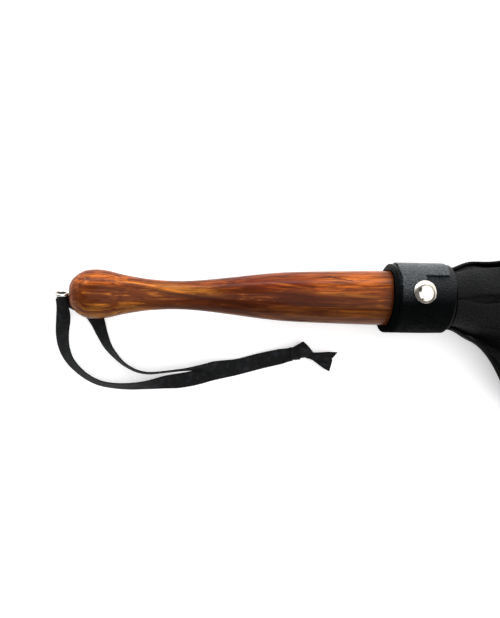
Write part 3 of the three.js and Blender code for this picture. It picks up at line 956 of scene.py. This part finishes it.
def wound_tape(name, place, turn, reach, width, slant):
    """A flattened turn of tape over the knot. Its run points at turn degrees in plan. reach holds half its
    length and half its height, and slant how much further one edge goes at its upper and lower folds."""
    run = Vector((cos(radians(turn)), sin(radians(turn)), 0))
    edge = Vector((-run.y, run.x, 0))
    length, height = reach
    section = ribbon_section(width, TAPE["thickness"], 10)
    rings = []
    ring_uvs = []
    steps = 56
    for i in range(steps + 1):
        around = lerp(-0.62, 1.52, i / steps) * pi
        rings.append([])
        for u, v, _, _ in section:
            upper = smooth((0.35 - cos(around)) / 0.7)
            pull = max(u / width, -0.5) + 0.5
            along = (length + v + pull * lerp(slant[1], slant[0], upper)) * cos(around)
            rise = (height + v - 0.25 * (u / width)) * sin(around)
            rings[-1].append(place + run * -along + edge * u + Vector((0, 0, rise)))
        s = around * (length + height) / 2
        ring_uvs.append([(s, across) for _, _, across, _ in section] + [(s, closing_uv(width))])
    return loft(name, rings, ring_uvs, WEBBING, plan_place, [flesh for _, _, _, flesh in section])


# Each cut tail: its name, CAD node, points in metres in plan, cup, slant of its cut end, share of its width
TAILS = [
    ("tape_tail_upper", "loop_tail_upper",
     [(0.1265, -0.0306, 0.0042, 0), (0.1305, -0.0313, 0.0044, 0), (0.136, -0.0318, 0.0041, 8),
      (0.1414, -0.0322, 0.0032, 16)], 0.12, 0.7, 0.72),
    ("tape_tail_lower", "loop_tail_lower",
     [(0.1265, -0.0312, 0.0028, 0), (0.1302, -0.0322, 0.0026, 0), (0.135, -0.0342, 0.0018, -6),
      (0.1406, -0.0368, 0.0016, -12)], 0.08, -0.1, 0.86),
]


def make_tail(name, node, points, cup, shear, wide):
    """A cut tail that opens out from the knot."""
    pinched = 0.4

    def eased(s, end):
        return cup * (1 - 0.5 * smooth(s / end))

    def opened(s, end):
        return pinched + (wide - pinched) * smooth((s - 2) / (end - 3))

    tail = tape_piece(name, tape_frames(points, 0.6), eased, opened, shear)
    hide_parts(node)
    return tail


def make_knot():
    """A flat overhand knot: a core, a turn round the legs, a slanting turn over it and the two cut tails."""
    long_half = 5
    wide_half = 3.3
    swings = [pi * i / 16 for i in range(17)]
    outline = [(-long_half * cos(swing), wide_half * sin(swing)) for swing in swings]
    place = (plan_place @ Matrix.Translation(KNOT * MM) @ Matrix.Rotation(radians(-14), 4, "Z")
             @ Matrix.Diagonal((1, 1, 0.6, 1)))
    core = turned("knot_core", outline, 40, WEBBING, place)
    round_legs = wound_tape(
        "knot_turn_round_legs", KNOT + Vector((-3.6, -1.1, -0.1)), 94, (3.2, 2.3), 5.6, (0, 0))
    slanting = wound_tape(
        "knot_turn_slanting", KNOT + Vector((1.1, -0.3, 0.3)), 132, (4.1, 2.5), 7.8, (1.7, -3))
    tails = [make_tail(*tail) for tail in TAILS]
    pieces = [core, round_legs, slanting]
    for piece in pieces:
        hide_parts("loop_knot")
    for piece in pieces + tails:
        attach(piece, "wrist_loop")
    return pieces + tails


# ---- surroundings ----
def make_stage():
    """A pale floor that glows a little, as on a light table."""
    bpy.ops.mesh.primitive_plane_add(size=6, location=(0, 0, -0.0002))
    floor = bpy.context.object
    floor.name = "floor"
    finish = Finish("pale_floor", Roughness=0.6)
    paper = finish.noise(finish.place(), 900, 2)
    finish.surface("Base Color", finish.mix(paper, (0.86, 0.86, 0.86, 1), (0.9, 0.9, 0.9, 1)))
    finish.surface("Emission Color", (1, 1, 1, 1))
    finish.surface("Emission Strength", 0.45)
    floor.data.materials.append(finish.material)


def area_light(name, place, aim, size, power, tone=(1, 1, 1)):
    data = bpy.data.lights.new(name, "AREA")
    data.shape = "RECTANGLE"
    data.size, data.size_y = size
    data.energy = power
    data.color = tone
    light = bpy.data.objects.new(name, data)
    bpy.context.collection.objects.link(light)
    light.location = place
    light.rotation_euler = (Vector(aim) - Vector(place)).to_track_quat("-Z", "Y").to_euler()


def make_lights():
    """Soft light from low on both long sides, and a small bright window towards the butt."""
    aim = plan_place @ Vector((0.1, 0, 0.01))
    x, y, _ = aim
    area_light("softbox", (x - 0.15, y + 1.2, 0.42), aim, (1.9, 0.35), 12, (0.93, 0.97, 1))
    area_light("fill", (x + 0.05, y - 1.25, 0.4), aim, (1.9, 0.5), 1, (1, 0.97, 0.93))
    area_light("window", (x - 0.5, y + 0.86, 0.07), aim, (0.1, 0.04), 0.8)


def make_tent():
    """A white tent: pale overhead, a dim band round it, pale again low on the +Y side, with two dark gaps
    that show in the rivet."""
    gaps = [((-0.24, 0.46, 0.85), 0.2, 0.28), ((-0.1, -0.52, 0.85), 0.12, 0.18)]
    world = bpy.data.worlds.new("tent")
    world.use_nodes = True
    tent = Nodes(world.node_tree)
    direction = tent.place("Generated")
    x, y, z = tent.parts(direction)
    low_side = tent.rise(tent.math("MULTIPLY_ADD", y, -0.6, z), -0.2, 0.3, 1.4, 0.2)
    overhead = tent.rise(tent.math("MULTIPLY_ADD", x, 0.3, z), 0.68, 0.82, 0, 1.6)
    strength = tent.math("ADD", overhead, low_side)
    for gap, low, high in gaps:
        away = tent.node("VectorMath", {0: direction, 1: gap}, operation="DISTANCE").outputs["Value"]
        shade = tent.rise(away, low, high, 0.08, 1, kind="LINEAR")
        strength = tent.math("MULTIPLY", shade, strength)
    background = world.node_tree.nodes["Background"]
    tent.feed(background.inputs["Strength"], strength)
    tent.feed(background.inputs["Color"], (1, 1, 1, 1))
    bpy.context.scene.world = world
    bpy.context.scene.view_settings.view_transform = "Standard"


bight = make_bight()
knot_pieces = make_knot()
make_loop_leg("tape_leg_a", "loop_leg_a", LEG_A)
make_loop_leg("tape_leg_b", "loop_leg_b", LEG_B)
make_handle()
make_screw_eye()
make_keeper()
make_flap()
make_rivet()
finish_hidden_pieces()
make_falls()
make_stage()
make_lights()
make_tent()

bpy.context.view_layer.update()
